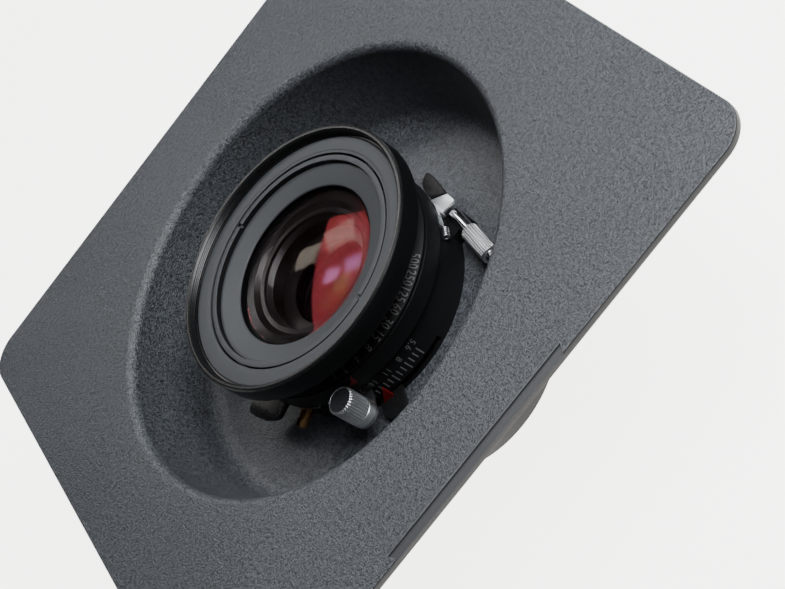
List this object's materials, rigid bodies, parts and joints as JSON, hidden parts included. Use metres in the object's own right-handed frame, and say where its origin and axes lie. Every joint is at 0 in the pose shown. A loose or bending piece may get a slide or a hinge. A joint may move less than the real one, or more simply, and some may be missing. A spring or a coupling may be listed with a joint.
{
  "type": "view camera lens on recessed lens board",
  "caption": "Wide-angle lens in a leaf shutter, fixed in the round recess of a square lens board, with speed ring, aperture lever, cocking and release levers.",
  "frame": {"origin": "on the optical axis, in the plane of the rear rim that the lens stands on", "axes": "+Z along the optical axis out of the front glass, +Y towards the board edge with the lock rebate, +X to the right seen from the front"},
  "size_m": [0.171, 0.171, 0.0674],
  "materials": {
    "board_paint": "crinkle",
    "black_satin": "satin",
    "black_barrel": "black anodised",
    "gray_matte": "matte",
    "steel": "satin",
    "bright_lever": "bright",
    "chrome": "polished",
    "knurled_metal": "satin chrome",
    "brass": "dull",
    "black_plastic": "gloss",
    "red_paint": "satin",
    "blade_black": "matte",
    "coated_glass": "coated"
  },
  "bodies": {
    "lens": {"lens_board": "board_paint", "jam_nut": "black_satin", "shutter_case": "black_satin", "locating_stud": "steel", "blade_plate": "steel", "mechanism_plate": "steel", "front_cover": "black_satin", "cover_screws": "steel", "speed_index": "red_paint", "speed_ring_clip": "steel", "drive_spring": "steel", "aperture_scale_plate": "black_satin", "scale_plate_screws": "steel", "socket_bracket": "black_satin", "cable_release_tube": "chrome", "cable_release_sleeve": "knurled_metal", "release_spring": "steel", "terminal_shell": "brass", "terminal_insulator": "black_plastic", "terminal_pin": "brass", "terminal_clip": "steel", "front_barrel": "black_barrel", "front_trim_ring": "gray_matte", "front_retaining_ring": "black_barrel", "front_baffle_cone": "gray_matte", "front_element": "coated_glass", "front_second_element": "coated_glass", "front_inner_group": "coated_glass", "rear_barrel": "black_barrel", "rear_retaining_ring": "black_barrel", "rear_element": "coated_glass", "rear_second_element": "coated_glass", "rear_inner_group": "coated_glass"},
    "speed_setting": {"speed_ring": "black_satin", "speed_cam_ring": "steel"},
    "aperture_setting": {"aperture_lever": "black_satin", "aperture_pointer": "red_paint", "iris_ring": "steel"},
    "cocking": {"cocking_lever": "steel", "cocking_knob": "knurled_metal", "drive_ring": "steel"},
    "release": {"release_lever": "bright_lever", "release_tab": "black_plastic"},
    "press_focus": {"press_focus_lever": "black_satin", "blade_ring": "steel"},
    "iris_blade_1": {"iris_blade_1": "blade_black"},
    "shutter_blade_1": {"shutter_blade_1": "blade_black"},
    "iris_blade_2": {"iris_blade_2": "blade_black"},
    "shutter_blade_2": {"shutter_blade_2": "blade_black"},
    "iris_blade_3": {"iris_blade_3": "blade_black"},
    "shutter_blade_3": {"shutter_blade_3": "blade_black"},
    "iris_blade_4": {"iris_blade_4": "blade_black"},
    "shutter_blade_4": {"shutter_blade_4": "blade_black"},
    "iris_blade_5": {"iris_blade_5": "blade_black"},
    "shutter_blade_5": {"shutter_blade_5": "blade_black"}
  },
  "joints": [
    {"name": "speed_turn", "type": "hinge", "parent": "lens", "child": "speed_setting", "pos_m": [0, 0, 0.055], "axis": [0, 0, 1], "range_deg": [-59.3, 20.9]},
    {"name": "aperture_turn", "type": "hinge", "parent": "lens", "child": "aperture_setting", "pos_m": [0, 0, 0.039], "axis": [0, 0, 1], "range_deg": [-24.6, 24.6]},
    {"name": "cocking_swing", "type": "hinge", "parent": "lens", "child": "cocking", "pos_m": [0, 0, 0.046], "axis": [0, 0, 1], "range_deg": [-23, 0], "stiffness_Nm_per_rad": 0.05},
    {"name": "release_press", "type": "hinge", "parent": "lens", "child": "release", "pos_m": [0, 0, 0.0475], "axis": [0, 0, 1], "range_deg": [0, 6], "stiffness_Nm_per_rad": 0.05},
    {"name": "press_focus_turn", "type": "hinge", "parent": "lens", "child": "press_focus", "pos_m": [0, 0, 0.045], "axis": [0, 0, 1], "range_deg": [-10, 0]},
    {"name": "iris_blade_1_swing", "type": "hinge", "parent": "lens", "child": "iris_blade_1", "pos_m": [0.01997, 0.00649, 0.0405], "axis": [0, 0, 1], "range_deg": [-9.6, 9.6]},
    {"name": "iris_blade_2_swing", "type": "hinge", "parent": "lens", "child": "iris_blade_2", "pos_m": [0.01234, -0.01699, 0.0405], "axis": [0, 0, 1], "range_deg": [-9.6, 9.6]},
    {"name": "iris_blade_3_swing", "type": "hinge", "parent": "lens", "child": "iris_blade_3", "pos_m": [-0.01234, -0.01699, 0.0405], "axis": [0, 0, 1], "range_deg": [-9.6, 9.6]},
    {"name": "iris_blade_4_swing", "type": "hinge", "parent": "lens", "child": "iris_blade_4", "pos_m": [-0.01997, 0.00649, 0.0405], "axis": [0, 0, 1], "range_deg": [-9.6, 9.6]},
    {"name": "iris_blade_5_swing", "type": "hinge", "parent": "lens", "child": "iris_blade_5", "pos_m": [0, 0.021, 0.0405], "axis": [0, 0, 1], "range_deg": [-9.6, 9.6]},
    {"name": "shutter_blade_1_swing", "type": "hinge", "parent": "lens", "child": "shutter_blade_1", "pos_m": [0.02187, -0.00711, 0.0435], "axis": [0, 0, 1], "range_deg": [0, 33]},
    {"name": "shutter_blade_2_swing", "type": "hinge", "parent": "lens", "child": "shutter_blade_2", "pos_m": [0, -0.023, 0.0435], "axis": [0, 0, 1], "range_deg": [0, 33]},
    {"name": "shutter_blade_3_swing", "type": "hinge", "parent": "lens", "child": "shutter_blade_3", "pos_m": [-0.02187, -0.00711, 0.0435], "axis": [0, 0, 1], "range_deg": [0, 33]},
    {"name": "shutter_blade_4_swing", "type": "hinge", "parent": "lens", "child": "shutter_blade_4", "pos_m": [-0.01352, 0.01861, 0.0435], "axis": [0, 0, 1], "range_deg": [0, 33]},
    {"name": "shutter_blade_5_swing", "type": "hinge", "parent": "lens", "child": "shutter_blade_5", "pos_m": [0.01352, 0.01861, 0.0435], "axis": [0, 0, 1], "range_deg": [0, 33]}
  ],
  "couplings": [
    {"joint": "iris_blade_1_swing", "follows": "aperture_turn", "ratio": 0.38618},
    {"joint": "iris_blade_2_swing", "follows": "aperture_turn", "ratio": 0.38618},
    {"joint": "iris_blade_3_swing", "follows": "aperture_turn", "ratio": 0.38618},
    {"joint": "iris_blade_4_swing", "follows": "aperture_turn", "ratio": 0.38618},
    {"joint": "iris_blade_5_swing", "follows": "aperture_turn", "ratio": 0.38618},
    {"joint": "shutter_blade_1_swing", "follows": "press_focus_turn", "ratio": -3.28},
    {"joint": "shutter_blade_2_swing", "follows": "press_focus_turn", "ratio": -3.28},
    {"joint": "shutter_blade_3_swing", "follows": "press_focus_turn", "ratio": -3.28},
    {"joint": "shutter_blade_4_swing", "follows": "press_focus_turn", "ratio": -3.28},
    {"joint": "shutter_blade_5_swing", "follows": "press_focus_turn", "ratio": -3.28}
  ]
}
